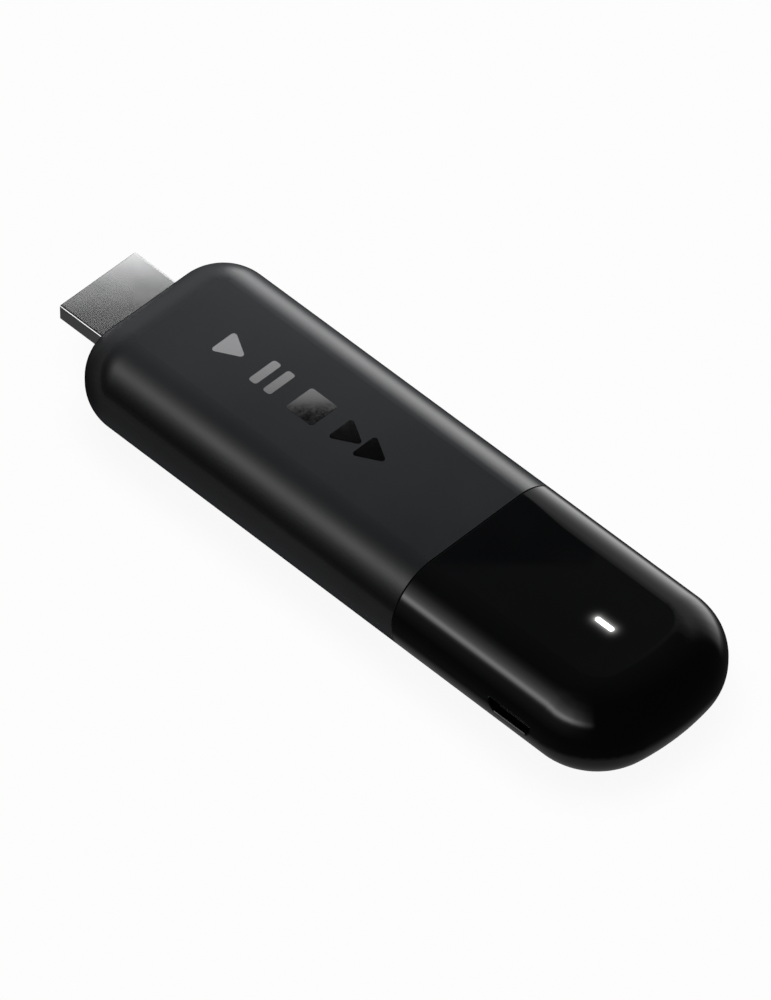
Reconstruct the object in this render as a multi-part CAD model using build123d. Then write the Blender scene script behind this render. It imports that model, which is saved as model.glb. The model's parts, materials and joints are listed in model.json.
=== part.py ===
from build123d import *

import os

# A streaming media stick: a matt sleeve and a gloss end cap close around a board whose HDMI plug stands out
# of one end. Frame, in millimetres: +X runs along the stick towards the plug, +Y towards the side with the
# power socket, +Z out of the face with the status light. The origin is on the flat underside, midway along
# the whole length, plug included.

# ---------------------------------------------------------------- driving dimensions: case
TOTAL_LENGTH = 107.0
CASE_LENGTH = 98.6
CASE_WIDTH = 30.0
CASE_HEIGHT = 14.6
EDGE_RADIUS = 7.0             # rounding of the long edges, seen in cross-section
CAP_CORNER = 10.7             # plan corners at the cap end
CAP_END_RADIUS = 36.0         # gentle bulge of the cap's end, in plan
CAP_END_DEPTH = 12.0          # length of the outline that is cut from the bulge
PLUG_CORNER = 8.0             # plan corners at the plug end
WALL = 1.3
CAP_SHARE = 0.378             # share of the case length that is gloss cap
SEAM_GAP = 0.06
SEAM_BREAK = 0.08             # small chamfer on each rim at the seam

CAP_END = -TOTAL_LENGTH / 2
PLUG_END = CAP_END + CASE_LENGTH
PLUG_TIP = TOTAL_LENGTH / 2
SEAM = CAP_END + CAP_SHARE * CASE_LENGTH
MID_HEIGHT = CASE_HEIGHT / 2

FIT_GAP = 0.02                # between pieces that sit face to face
NEAR = 1e-3                   # tolerance for picking edges and corners by place
BEYOND = 5.0                  # how far cutters run past what they cut

# the cap's spigot and its snap fit into the sleeve
SPIGOT_CLEARANCE = 0.05
SPIGOT_WALL = 0.8
SPIGOT_REACH = 3.5
SPIGOT_ROOT = 3.0             # length of the thickened ring that ties the spigot to the cap's wall
SPIGOT_OVERLAP = 0.2          # how deep that ring sinks into the wall
SNAP_LENGTH, SNAP_WIDTH, SNAP_HEIGHT = 1.0, 4.0, 0.4
SNAP_ROOT = 0.3
SNAP_CLEARANCE = 0.05
SNAP_OFFSET = 4.5             # from the centre plane to each snap
SNAP_X = SEAM + 2.2

# ribs along the sleeve's sides, above and below the board's edges
RIB_HEIGHT = 1.0
RIB_CLEARANCE = 0.1
RIB_OVERLAP = 0.6             # how far they reach over the board
RIB_BACK, RIB_FRONT = SEAM + 6.0, PLUG_END - 8.5

# ---------------------------------------------------------------- driving dimensions: board
BOARD_THICK = 1.0
BOARD_MID = 6.55
BOARD_TOP = BOARD_MID + BOARD_THICK / 2
BOARD_BOTTOM = BOARD_MID - BOARD_THICK / 2
BOARD_HALF_WIDTH = 12.4
BOARD_BACK, BOARD_FRONT = -45.0, 38.0
BOARD_CORNER = 6.0

# packaged parts on the board: centre x, centre y, length, width, height
PROCESSOR = (17.5, 0.0, 13.0, 13.0, 1.2)
MEMORY_CHIPS = [(2.5, y, 10.5, 8.0, 1.0) for y in (-5.0, 5.0)]
FLASH_CHIP = (-17.5, -4.0, 10.5, 12.5, 1.0)
POWER_CHIP = (-27.0, 7.0, 5.0, 5.0, 0.9)
INDUCTORS = [(x, 7.2, 3.6, 3.6, 1.8) for x in (-21.5, -16.8, -12.6)]
CRYSTALS = [(-21.0, 3.6, 3.2, 2.5, 0.7), (-39.8, -6.4, 2.5, 2.0, 0.6)]
PLUG_CAPACITORS = [(32.4, 1.5 * i, 1.0, 0.6, 0.5) for i in range(-3, 4)]
POWER_CAPACITORS = [(x, 3.4, 1.6, 0.8, 0.8) for x in (-30.6, -27.9, -25.2)]
RADIO_CAPACITORS = [(-38.6, y, 1.0, 0.6, 0.5) for y in (-3.2, -4.6)]
SHIELDED_CAPACITORS = [(9.3, y, 0.6, 1.0, 0.5) for y in (-8.0, -5.3, -2.6, 2.6, 5.3, 8.0)]
PACKAGE_BEVEL = 0.12

RADIO_CENTRE = (-29.3, -4.75)
RADIO_LENGTH, RADIO_WIDTH = 9.0, 12.5
RADIO_BASE_HEIGHT, RADIO_TOTAL_HEIGHT = 0.5, 1.7
RADIO_RIM = 0.4               # how far its base stands out around its lid
LED_SIZE, LED_HEIGHT = 0.8, 0.6

# ---------------------------------------------------------------- driving dimensions: HDMI plug
PLUG_HALF_WIDTH = 13.9 / 2
PLUG_HALF_HEIGHT = 4.45 / 2
PLUG_SHOULDER = -0.25         # height of the shoulder, from the plug's mid-height
PLUG_SLOPE_TOP = (5.65, -0.75)
PLUG_NARROW_HALF = 4.85
PLUG_CORNER_RADIUS = 0.35
PLUG_SHEET = 0.3
PLUG_TIP_CHAMFER = 0.16
PLUG_REAR = 36.6
PLUG_MID = BOARD_MID
PLUG_OPENING_GAP = 0.18       # between the plug and the case
PLUG_NARROW_FACE = PLUG_MID - PLUG_HALF_HEIGHT
WINDOW_SIZE = 1.4
WINDOW_X = PLUG_END + 3.6
WINDOW_Y = 2.5
SEAM_LINE_WIDTH, SEAM_LINE_DEPTH = 0.08, 0.12
DOVETAIL_STARTS = (PLUG_END + 0.8, PLUG_END + 5.3)
DOVETAIL_LENGTH, DOVETAIL_REACH, DOVETAIL_FLARE = 1.5, 0.8, 0.2
SOLDER_TAB_WIDTH, SOLDER_TAB_ROOT = 1.0, 0.6
INSULATOR_REAR = PLUG_REAR + 0.8
INSULATOR_RECESS = 0.5
INSULATOR_BOARD_GAP = 0.3
CONTACT_PITCH = 1.0
UPPER_CONTACTS, LOWER_CONTACTS = 10, 9
CONTACT_WIDTH, CONTACT_THICK = 0.4, 0.2
CONTACT_FRONT, CONTACT_REAR = PLUG_TIP - 1.1, 34.2
NOSE_RADIUS, NOSE_RISE, NOSE_SETBACK = 0.6, 0.18, 0.9
TONGUE_SLOT_HALF = 5.4
TONGUE_SLOT_REAR = PLUG_TIP - 8.0

# ---------------------------------------------------------------- driving dimensions: micro-USB socket
USB_X = CAP_END + 16.25
USB_MID = 6.95
USB_WIDE_HALF, USB_NARROW_HALF = 3.45, 2.72
USB_HALF_HEIGHT = 0.93
USB_BEVEL = 0.95              # height of the bevelled part of the opening's narrow side
USB_CORNER = 0.2
USB_SHEET = 0.25
USB_BACK_SHEET = 0.3
USB_MOUTH = CASE_WIDTH / 2 - WALL - 0.2
USB_BACK = USB_MOUTH - 5.2
USB_OPENING_GAP = 0.2
USB_RIM_BREAK = 0.13           # chamfer where the opening meets the case's side
USB_WING_LENGTH, USB_WING_DEPTH, USB_WING_SETBACK = 1.3, 2.0, 0.6
USB_TONGUE_HALF = 1.95
USB_TONGUE_LOW, USB_TONGUE_HIGH = USB_MID + 0.08, USB_MID + 0.62
USB_TONGUE_FRONT = USB_MOUTH - 0.7
USB_BLOCK_DEPTH = 1.1         # the tongue's rear block
USB_CONTACT_COUNT = 5
USB_CONTACT_PITCH = 0.65
USB_CONTACT_WIDTH, USB_CONTACT_THICK = 0.26, 0.15
USB_CONTACT_SINK = 0.1        # how much of each contact lies inside the tongue

# ---------------------------------------------------------------- driving dimensions: status light
LIGHT_X = CAP_END + 14.1
LIGHT_LENGTH, LIGHT_WIDTH = 3.1, 0.75
LIGHT_CLEARANCE = 0.03
COLLAR_LENGTH, COLLAR_WIDTH, COLLAR_THICK, COLLAR_CORNER = 5.6, 3.2, 0.9, 0.6
COLLAR_TOP = CASE_HEIGHT - WALL - 0.05
STEM_LENGTH, STEM_WIDTH, STEM_CORNER = 3.0, 1.6, 0.3
STEM_FOOT = BOARD_TOP + LED_HEIGHT + 0.25

# ---------------------------------------------------------------- driving dimensions: stack inside
SCREW_BACK, SCREW_FRONT, SCREW_Y = -9.2, 30.6, 9.0
SCREW_PLACES = [(x, y) for x in (SCREW_BACK, SCREW_FRONT) for y in (-SCREW_Y, SCREW_Y)]
SINK_SCREW_PLACES = [(-4.0, 9.7), (25.0, -9.7)]
SCREW_SHANK = 0.7
SCREW_HEAD, SCREW_HEAD_HEIGHT, SCREW_HEAD_ROUND = 1.3, 0.7, 0.3
RECESS_ARM, RECESS_HALF, RECESS_DEPTH = 0.75, 0.14, 0.4
CLEAR_HOLE = SCREW_SHANK + 0.1
THREAD_HOLE = SCREW_SHANK + FIT_GAP
SHORT_SCREW_LENGTH = 2.5
SPACER_RADIUS = 1.4

CARRIER_HALF_WIDTH = 11.5
CARRIER_RAIL = 2.9
CARRIER_BAR = 3.0
CARRIER_BACK, CARRIER_FRONT = BOARD_BACK + 1, 33.2
CARRIER_BOTTOM, CARRIER_TOP = 3.9, BOARD_BOTTOM
CARRIER_CORNER, CARRIER_INNER_CORNER = 5.0, 1.5
CARRIER_FLOOR = 0.3           # left under the long screws' holes
CARRIER_DIP = 1.1             # height left under the power socket
CARRIER_DIP_HALF, CARRIER_DIP_INNER = 5.0, 7.8

SHIELD_BACK, SHIELD_FRONT, SHIELD_HALF_WIDTH = -6.0, 27.0, 10.6
SHIELD_SHEET = 0.2
SHIELD_CORNER = 1.0
SHIELD_TOP = 9.0
SHIELD_SKIRT_GAP = 0.3        # between the lid's skirt and the board

UPPER_SINK_BOTTOM, UPPER_SINK_TOP = 10.4, 11.6
UPPER_SINK_BACK, UPPER_SINK_FRONT = -12.0, 33.4
SINK_HALF_WIDTH, SINK_CORNER = 11.0, 2.0
FIN_COUNT, FIN_PITCH, FIN_THICK, FIN_HEIGHT = 5, 2.6, 0.8, 1.0
FIN_BACK, FIN_FRONT = -5.5, 26.5
LOWER_SINK_BOTTOM, LOWER_SINK_TOP = 3.0, CARRIER_BOTTOM
LOWER_SINK_BACK, LOWER_SINK_FRONT = -6.5, 28.2
PEDESTAL_BACK, PEDESTAL_FRONT, PEDESTAL_HALF_WIDTH, PEDESTAL_TOP = 3.0, 26.0, 8.0, 5.4
PEDESTAL_CORNER = 1.0
SINK_OVERLAP = 0.2            # how far fins and pedestal sink into their plates

PAD_CORNER = 0.8
PROCESSOR_PAD = (11.5, 23.5, -6.0, 6.0)      # x from, x to, y from, y to
UPPER_PAD = (-2.0, 24.0, -7.5, 7.5)
LOWER_PAD = (5.0, 24.0, -7.0, 7.0)

# ---------------------------------------------------------------- driving dimensions: antennas
ANTENNA_FRONT = BOARD_BACK - 0.4
ANTENNA_TOP = 10.6
ANTENNA_SHEET = 0.15
ANTENNA_PLACES = (-4.6, 4.6)  # sideways middle of each
ANTENNA_BACK, ANTENNA_HALF_WIDTH, ANTENNA_CORNER = -49.4, 3.8, 0.5
ANTENNA_SLOT = (-48.2, -47.5)
ANTENNA_ARM = 0.8             # metal left at the closed end of the slot
BRACKET_HALF_WIDTH, BRACKET_WALL = 9.5, 1.0
BRACKET_ROOM_BACK = CAP_END + 3.4
LEAD_RADIUS = 0.4
LEAD_START_HEIGHT = ANTENNA_TOP + ANTENNA_SHEET + LEAD_RADIUS + 0.05
LEAD_END_X, LEAD_END_HEIGHT = -36.6, BOARD_TOP + 1.3
# y at the antenna, the point midway, y at the board
LEAD_ROUTES = [(1.4, (-43.4, -1.6, 10.2), -3.4), (-7.6, (-42.6, -8.4, 9.9), -8.9)]
LEAD_CAP_RADIUS, LEAD_CAP_BASE_RADIUS = 1.1, 0.85
LEAD_CAP_BASE_TOP, LEAD_CAP_TOP = BOARD_TOP + 0.9, BOARD_TOP + 1.7


# ---------------------------------------------------------------- helpers
def block(x0, x1, y0, y1, z0, z1):
    """A box between opposite corners."""
    middle = Pos((x0 + x1) / 2, (y0 + y1) / 2, (z0 + z1) / 2)
    return middle * Box(x1 - x0, y1 - y0, z1 - z0)


def rounded_block(x0, x1, y0, y1, z0, z1, radius):
    """A box whose upright edges are rounded."""
    plate = RectangleRounded(x1 - x0, y1 - y0, radius)
    return Pos((x0 + x1) / 2, (y0 + y1) / 2, z0) * extrude(plate, z1 - z0)


def post(x, y, z0, z1, radius):
    """An upright cylinder."""
    return Pos(x, y, (z0 + z1) / 2) * Cylinder(radius, z1 - z0)


def drill(solid, places, radius, z0=-BEYOND, z1=CASE_HEIGHT + BEYOND):
    """Cuts an upright hole at each place."""
    for x, y in places:
        solid -= post(x, y, z0, z1, radius)
    return solid


def group(shapes):
    """Several separate solids that share one node."""
    return Compound([shape.solid() for shape in shapes])


def case_corners(outline, x0, x1):
    """The outline's corners on the case's straight sides, between two places along it."""
    on_side = outline.vertices().filter_by(lambda v: abs(abs(v.Y) - CASE_WIDTH / 2) < NEAR)
    return on_side.filter_by(lambda v: x0 < v.X < x1)


def case_outline():
    """Plan outline of the case: square-ended at the plug, bulged and well rounded at the cap."""
    straight_length = CASE_LENGTH - CAP_END_DEPTH
    outline = Pos(PLUG_END - straight_length / 2, 0) * Rectangle(straight_length, CASE_WIDTH)
    bulge = Pos(CAP_END + CAP_END_RADIUS, 0) * Circle(CAP_END_RADIUS)
    bulge &= Pos(CAP_END + CAP_END_DEPTH / 2, 0) * Rectangle(CAP_END_DEPTH, CASE_WIDTH)
    outline += bulge
    outline = fillet(case_corners(outline, PLUG_END - 1, PLUG_END + 1), PLUG_CORNER)
    return fillet(case_corners(outline, CAP_END, CAP_END + CAP_END_DEPTH - 1), CAP_CORNER)


def case_form(inset=0.0):
    """The whole case as one solid pillow, with its surface moved inwards by inset."""
    outline = offset(case_outline(), -inset) if inset else case_outline()
    form = extrude(outline, CASE_HEIGHT - 2 * inset)
    faces = form.edges().group_by(Axis.Z)
    form = fillet(faces[0] + faces[-1], EDGE_RADIUS - inset)
    return Pos(0, 0, inset) * form


def slab(x0, x1):
    """Everything between two planes across the stick, to cut lengths off the case forms."""
    return block(x0, x1, -CASE_WIDTH, CASE_WIDTH, -BEYOND, CASE_HEIGHT + BEYOND)


def break_rim(form, x):
    """Chamfers the edge all round a form in the plane x."""
    rim = form.edges().filter_by(lambda e: all(abs(v.X - x) < NEAR for v in e.vertices()))
    return chamfer(rim, SEAM_BREAK)


def d_section(side, corner, grow):
    """A symmetric section from the points of its right side, with rounded corners, grown outwards by grow."""
    mirrored = [(-across, up) for across, up in reversed(side)]
    section = make_face(Polyline(*side, *mirrored, close=True))
    section = fillet(section.vertices(), corner)
    return offset(section, grow) if grow else section


def plug_body(x0, x1, grow=0.0):
    """A length of the plug's section, wide side up, grown outwards by grow."""
    side = [
        (PLUG_NARROW_HALF, -PLUG_HALF_HEIGHT),
        PLUG_SLOPE_TOP,
        (PLUG_HALF_WIDTH, PLUG_SHOULDER),
        (PLUG_HALF_WIDTH, PLUG_HALF_HEIGHT),
    ]
    across = Plane(origin=(x0, 0, PLUG_MID), x_dir=(0, 1, 0), z_dir=(1, 0, 0))
    return extrude(across * d_section(side, PLUG_CORNER_RADIUS, grow), x1 - x0)


def usb_body(y0, y1, grow=0.0):
    """A length of the micro-USB opening's section, wide side up, grown outwards by grow."""
    side = [
        (USB_NARROW_HALF, -USB_HALF_HEIGHT),
        (USB_WIDE_HALF, USB_BEVEL - USB_HALF_HEIGHT),
        (USB_WIDE_HALF, USB_HALF_HEIGHT),
    ]
    across = Plane(origin=(USB_X, y1, USB_MID), x_dir=(1, 0, 0), z_dir=(0, -1, 0))
    return extrude(across * d_section(side, USB_CORNER, grow), y1 - y0)


# ---------------------------------------------------------------- casing
def snaps(clearance=0.0):
    """The four snap bumps on the spigot's flats, or their pockets when clearance is given."""
    flat = MID_HEIGHT - WALL - SPIGOT_CLEARANCE
    low, high = flat - SNAP_ROOT, flat + SNAP_HEIGHT + clearance
    half_length = SNAP_LENGTH / 2 + clearance
    half_width = SNAP_WIDTH / 2 + clearance
    bumps = []
    for y in (-SNAP_OFFSET, SNAP_OFFSET):
        for z0, z1 in ((MID_HEIGHT + low, MID_HEIGHT + high), (MID_HEIGHT - high, MID_HEIGHT - low)):
            x0, x1 = SNAP_X - half_length, SNAP_X + half_length
            bumps.append(block(x0, x1, y - half_width, y + half_width, z0, z1))
    return bumps


def body_sleeve():
    """Matt outer shell: closed at the plug end, open at the seam, with ribs that guide the board's edges."""
    rim = SEAM + SEAM_GAP / 2
    sleeve = break_rim(case_form() & slab(rim, PLUG_END + BEYOND), rim)
    sleeve -= case_form(WALL) & slab(rim - 1, PLUG_END)
    inner, outer = BOARD_HALF_WIDTH - RIB_OVERLAP, CASE_WIDTH / 2
    within_wall = case_form(WALL / 2)
    for z0 in (BOARD_TOP + RIB_CLEARANCE, BOARD_BOTTOM - RIB_CLEARANCE - RIB_HEIGHT):
        for y0, y1 in ((inner, outer), (-outer, -inner)):
            sleeve += block(RIB_BACK, RIB_FRONT, y0, y1, z0, z0 + RIB_HEIGHT) & within_wall
    for pocket in snaps(SNAP_CLEARANCE):
        sleeve -= pocket
    return sleeve - plug_body(PLUG_REAR + BEYOND, PLUG_END + 1, PLUG_OPENING_GAP)


def spigot():
    """The cap's spigot: a ring inside the sleeve's mouth, and a thicker ring that ties it to the wall."""
    outer = WALL + SPIGOT_CLEARANCE
    back, seam, tip = SEAM - SPIGOT_ROOT, SEAM - SEAM_GAP, SEAM + SPIGOT_REACH
    ring = (case_form(outer) & slab(seam - 1, tip)) + (case_form(WALL - SPIGOT_OVERLAP) & slab(back, seam))
    return ring - (case_form(outer + SPIGOT_WALL) & slab(back - 1, tip + 1))


def end_cap():
    """Gloss outer shell: a snap-in spigot, a slot for the status light and the power socket's opening."""
    rim = SEAM - SEAM_GAP / 2
    cap = break_rim(case_form() & slab(CAP_END - BEYOND, rim), rim)
    cap -= case_form(WALL) & slab(CAP_END, rim + 1)
    cap += spigot()
    for bump in snaps():
        cap += bump
    slot = SlotOverall(LIGHT_LENGTH + 2 * LIGHT_CLEARANCE, LIGHT_WIDTH + 2 * LIGHT_CLEARANCE)
    cap -= Pos(LIGHT_X, 0, COLLAR_TOP) * extrude(slot, BEYOND)
    cap -= usb_body(USB_TONGUE_FRONT, CASE_WIDTH / 2 + 1, USB_OPENING_GAP)
    return chamfer(usb_rim(cap), USB_RIM_BREAK)


def usb_rim(cap):
    """The edges where the power socket's opening breaks out through the case's side."""
    reach_x, reach_z = USB_WIDE_HALF + 2 * USB_OPENING_GAP, USB_HALF_HEIGHT + 2 * USB_OPENING_GAP
    skin = CASE_WIDTH / 2 - WALL / 2

    def on_rim(edge):
        return all(
            abs(v.X - USB_X) < reach_x and abs(v.Z - USB_MID) < reach_z and v.Y > skin for v in edge.vertices()
        )

    return cap.edges().filter_by(on_rim)


def light_pipe():
    """Clear diffuser: flush with the cap's face, with a collar under the wall and a stem to the light."""
    collar_bottom = COLLAR_TOP - COLLAR_THICK
    window = SlotOverall(LIGHT_LENGTH, LIGHT_WIDTH)
    pipe = Pos(LIGHT_X, 0, collar_bottom) * extrude(window, CASE_HEIGHT - collar_bottom)
    levels = (
        (COLLAR_LENGTH, COLLAR_WIDTH, collar_bottom, COLLAR_TOP, COLLAR_CORNER),
        (STEM_LENGTH, STEM_WIDTH, STEM_FOOT, collar_bottom, STEM_CORNER),
    )
    for length, width, z0, z1, corner in levels:
        x, y = length / 2, width / 2
        pipe += rounded_block(LIGHT_X - x, LIGHT_X + x, -y, y, z0, z1, corner)
    return pipe


def carrier_frame():
    """Plastic frame under the board: two rails and three bars, drilled for the screws."""
    half, inner = CARRIER_HALF_WIDTH, CARRIER_HALF_WIDTH - CARRIER_RAIL
    x0, x1 = CARRIER_BACK, CARRIER_FRONT
    frame = rounded_block(x0, x1, -half, half, CARRIER_BOTTOM, CARRIER_TOP, CARRIER_CORNER)
    bar_half = CARRIER_BAR / 2
    windows = (
        (CARRIER_BACK + CARRIER_BAR, SCREW_BACK - bar_half),
        (SCREW_BACK + bar_half, SCREW_FRONT - bar_half),
    )
    for x0, x1 in windows:
        frame -= rounded_block(x0, x1, -inner, inner, 0, CASE_HEIGHT, CARRIER_INNER_CORNER)
    dip = (USB_X - CARRIER_DIP_HALF, USB_X + CARRIER_DIP_HALF, CARRIER_DIP_INNER, CASE_WIDTH)
    frame -= block(*dip, CARRIER_BOTTOM + CARRIER_DIP, CASE_HEIGHT)
    frame = drill(frame, SCREW_PLACES, THREAD_HOLE, z0=CARRIER_BOTTOM + CARRIER_FLOOR)
    return drill(frame, SINK_SCREW_PLACES, THREAD_HOLE, z1=CARRIER_TOP - CARRIER_FLOOR)


# ---------------------------------------------------------------- HDMI plug
def dovetail_line():
    """The stamped seam of the plug's shell: a straight butt line with two dovetail tabs to one side."""
    points = [(PLUG_REAR + 1, 0)]
    for start in DOVETAIL_STARTS:
        end = start + DOVETAIL_LENGTH
        points += [(start, 0), (start - DOVETAIL_FLARE, DOVETAIL_REACH)]
        points += [(end + DOVETAIL_FLARE, DOVETAIL_REACH), (end, 0)]
    points.append((PLUG_TIP + 1, 0))
    bottom, depth = PLUG_NARROW_FACE - SEAM_LINE_DEPTH, 2 * SEAM_LINE_DEPTH
    groove = None
    for (xa, ya), (xb, yb) in zip(points, points[1:]):
        run = Vector(xb - xa, yb - ya)
        stroke = SlotOverall(run.length + SEAM_LINE_WIDTH, SEAM_LINE_WIDTH)
        heading = run.get_signed_angle(Vector(1, 0))
        place = Pos((xa + xb) / 2, (ya + yb) / 2, bottom) * Rot(0, 0, -heading)
        piece = place * extrude(stroke, depth)
        groove = piece if groove is None else groove + piece
    return groove


def hdmi_shell():
    """Rolled metal shell: two latch windows and a dovetailed seam on its narrow side, and two solder tabs."""
    shell = plug_body(PLUG_REAR, PLUG_TIP)
    shell = chamfer(shell.edges().group_by(Axis.X)[-1], PLUG_TIP_CHAMFER)
    shell -= plug_body(PLUG_REAR - 1, PLUG_TIP + 1, -PLUG_SHEET)
    half = WINDOW_SIZE / 2
    z0, z1 = PLUG_NARROW_FACE - 1, PLUG_NARROW_FACE + 2 * PLUG_SHEET
    for y in (-WINDOW_Y, WINDOW_Y):
        shell -= block(WINDOW_X - half, WINDOW_X + half, y - half, y + half, z0, z1)
    shell -= dovetail_line()
    outer = PLUG_HALF_WIDTH - PLUG_SHEET / 2
    inner = outer - SOLDER_TAB_WIDTH
    x0, x1 = CONTACT_REAR, PLUG_REAR + SOLDER_TAB_ROOT
    for y0, y1 in ((inner, outer), (-outer, -inner)):
        shell += block(x0, x1, y0, y1, BOARD_TOP, BOARD_TOP + PLUG_SHEET)
    return shell


def contact_row(count):
    """Sideways places of one row of HDMI contacts."""
    return [(i - (count - 1) / 2) * CONTACT_PITCH for i in range(count)]


def hdmi_insulator():
    """Black insert inside the plug's shell: a slot for the socket's tongue, and a groove for each contact."""
    insert = plug_body(INSULATOR_REAR, PLUG_TIP - INSULATOR_RECESS, -(PLUG_SHEET + FIT_GAP))
    half = TONGUE_SLOT_HALF
    insert -= block(TONGUE_SLOT_REAR, PLUG_TIP, -half, half, BOARD_BOTTOM, BOARD_TOP)
    half, depth = CONTACT_WIDTH / 2 + FIT_GAP, CONTACT_THICK + FIT_GAP
    rows = (
        (UPPER_CONTACTS, BOARD_TOP - FIT_GAP, BOARD_TOP + depth),
        (LOWER_CONTACTS, BOARD_BOTTOM - depth, BOARD_BOTTOM + FIT_GAP),
    )
    for count, z0, z1 in rows:
        for y in contact_row(count):
            insert -= block(PLUG_REAR, CONTACT_FRONT + FIT_GAP, y - half, y + half, z0, z1)
    z0, z1 = BOARD_BOTTOM - INSULATOR_BOARD_GAP, BOARD_TOP + INSULATOR_BOARD_GAP
    return insert - block(PLUG_REAR, BOARD_FRONT + FIT_GAP, -CASE_WIDTH, CASE_WIDTH, z0, z1)


def hdmi_contacts(count, surface, inward):
    """A row of straight blades on one face of the board. inward is the way their noses point, 1 or -1."""
    half = CONTACT_WIDTH / 2
    nose_x = CONTACT_FRONT - NOSE_SETBACK
    nose_z = surface + inward * (NOSE_RISE - NOSE_RADIUS)
    blade_z = sorted((surface, surface - inward * CONTACT_THICK))
    nose_limits = sorted((surface - inward * CONTACT_THICK / 2, surface + inward * NOSE_RADIUS))
    blades = []
    for y in contact_row(count):
        blade = block(CONTACT_REAR, CONTACT_FRONT, y - half, y + half, *blade_z)
        nose = Pos(nose_x, y, nose_z) * Rot(90, 0, 0) * Cylinder(NOSE_RADIUS, CONTACT_WIDTH)
        nose &= block(nose_x - NOSE_RADIUS, nose_x + NOSE_RADIUS, y - half, y + half, *nose_limits)
        blades.append(blade + nose)
    return group(blades)


def hdmi_contacts_upper():
    """The row on the board's upper face."""
    return hdmi_contacts(UPPER_CONTACTS, BOARD_TOP, -1)


def hdmi_contacts_lower():
    """The row on the board's lower face, half a pitch to the side of the upper one."""
    return hdmi_contacts(LOWER_CONTACTS, BOARD_BOTTOM, 1)


# ---------------------------------------------------------------- micro-USB socket
def usb_shell():
    """Folded metal shell of the power socket, with two wings that rest on the board."""
    shell = usb_body(USB_BACK, USB_MOUTH, USB_SHEET) - usb_body(USB_BACK + USB_BACK_SHEET, USB_MOUTH + 1)
    inner, outer = USB_WIDE_HALF + USB_SHEET / 2, USB_WIDE_HALF + USB_SHEET + USB_WING_LENGTH
    y0 = USB_BACK + USB_WING_SETBACK
    for x0, x1 in ((USB_X - outer, USB_X - inner), (USB_X + inner, USB_X + outer)):
        shell += block(x0, x1, y0, y0 + USB_WING_DEPTH, BOARD_TOP, BOARD_TOP + USB_SHEET)
    return shell


def usb_contact_places():
    """Places of the socket's contacts along the stick."""
    middle = (USB_CONTACT_COUNT - 1) / 2
    return [USB_X + (i - middle) * USB_CONTACT_PITCH for i in range(USB_CONTACT_COUNT)]


def usb_tongue():
    """Plastic tongue of the power socket, standing forward from a rear block inside the shell."""
    back = USB_BACK + USB_BACK_SHEET
    tongue = usb_body(back, back + USB_BLOCK_DEPTH, -FIT_GAP)
    x0, x1 = USB_X - USB_TONGUE_HALF, USB_X + USB_TONGUE_HALF
    tongue += block(x0, x1, back + USB_BLOCK_DEPTH / 2, USB_TONGUE_FRONT, USB_TONGUE_LOW, USB_TONGUE_HIGH)
    half = USB_CONTACT_WIDTH / 2 + FIT_GAP
    z0, z1 = USB_TONGUE_LOW - USB_CONTACT_SINK, USB_TONGUE_LOW + USB_CONTACT_SINK + FIT_GAP
    for x in usb_contact_places():
        tongue -= block(x - half, x + half, USB_BACK, USB_TONGUE_FRONT - USB_CONTACT_SINK, z0, z1)
    return tongue


def usb_contacts():
    """Five thin blades let into the tongue's lower face."""
    half = USB_CONTACT_WIDTH / 2
    y0 = USB_BACK + USB_BACK_SHEET + FIT_GAP
    y1 = USB_TONGUE_FRONT - 2 * USB_CONTACT_SINK
    z1 = USB_TONGUE_LOW + USB_CONTACT_SINK
    z0 = z1 - USB_CONTACT_THICK
    return group([block(x - half, x + half, y0, y1, z0, z1) for x in usb_contact_places()])


# ---------------------------------------------------------------- board and what is soldered to it
def main_board():
    """The circuit board: stepped in to slide into the plug, notched for the power socket, and drilled."""
    half = BOARD_HALF_WIDTH
    board = rounded_block(BOARD_BACK, BOARD_FRONT, -half, half, BOARD_BOTTOM, BOARD_TOP, BOARD_CORNER)
    steps = (
        (CONTACT_REAR - FIT_GAP, PLUG_HALF_WIDTH + INSULATOR_BOARD_GAP),
        (PLUG_REAR - INSULATOR_BOARD_GAP, PLUG_SLOPE_TOP[0] - 2 * PLUG_SHEET),
    )
    for x0, inner in steps:
        for y0, y1 in ((inner, CASE_WIDTH), (-CASE_WIDTH, -inner)):
            board -= block(x0, PLUG_TIP, y0, y1, 0, CASE_HEIGHT)
    notch = USB_WIDE_HALF + USB_SHEET + RIB_CLEARANCE
    board -= block(USB_X - notch, USB_X + notch, USB_BACK - RIB_CLEARANCE, CASE_WIDTH, 0, CASE_HEIGHT)
    return drill(board, SCREW_PLACES, CLEAR_HOLE)


def package(x, y, length, width, height):
    """One packaged part standing on the board, with a small bevel around its top."""
    box = (x - length / 2, x + length / 2, y - width / 2, y + width / 2)
    body = block(*box, BOARD_TOP, BOARD_TOP + height)
    return chamfer(body.edges().group_by(Axis.Z)[-1], min(PACKAGE_BEVEL, height / 5))


def packages(places):
    """Several packaged parts in one node."""
    return group([package(*place) for place in places])


def radio_module():
    """The wireless module: a small board with its own metal lid."""
    (x, y), rim = RADIO_CENTRE, RADIO_RIM
    half_length, half_width = RADIO_LENGTH / 2, RADIO_WIDTH / 2
    x0, x1, y0, y1 = x - half_length, x + half_length, y - half_width, y + half_width
    lid_bottom, lid_top = BOARD_TOP + RADIO_BASE_HEIGHT, BOARD_TOP + RADIO_TOTAL_HEIGHT
    base = block(x0, x1, y0, y1, BOARD_TOP, lid_bottom)
    return base + rounded_block(x0 + rim, x1 - rim, y0 + rim, y1 - rim, lid_bottom, lid_top, rim)


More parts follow.
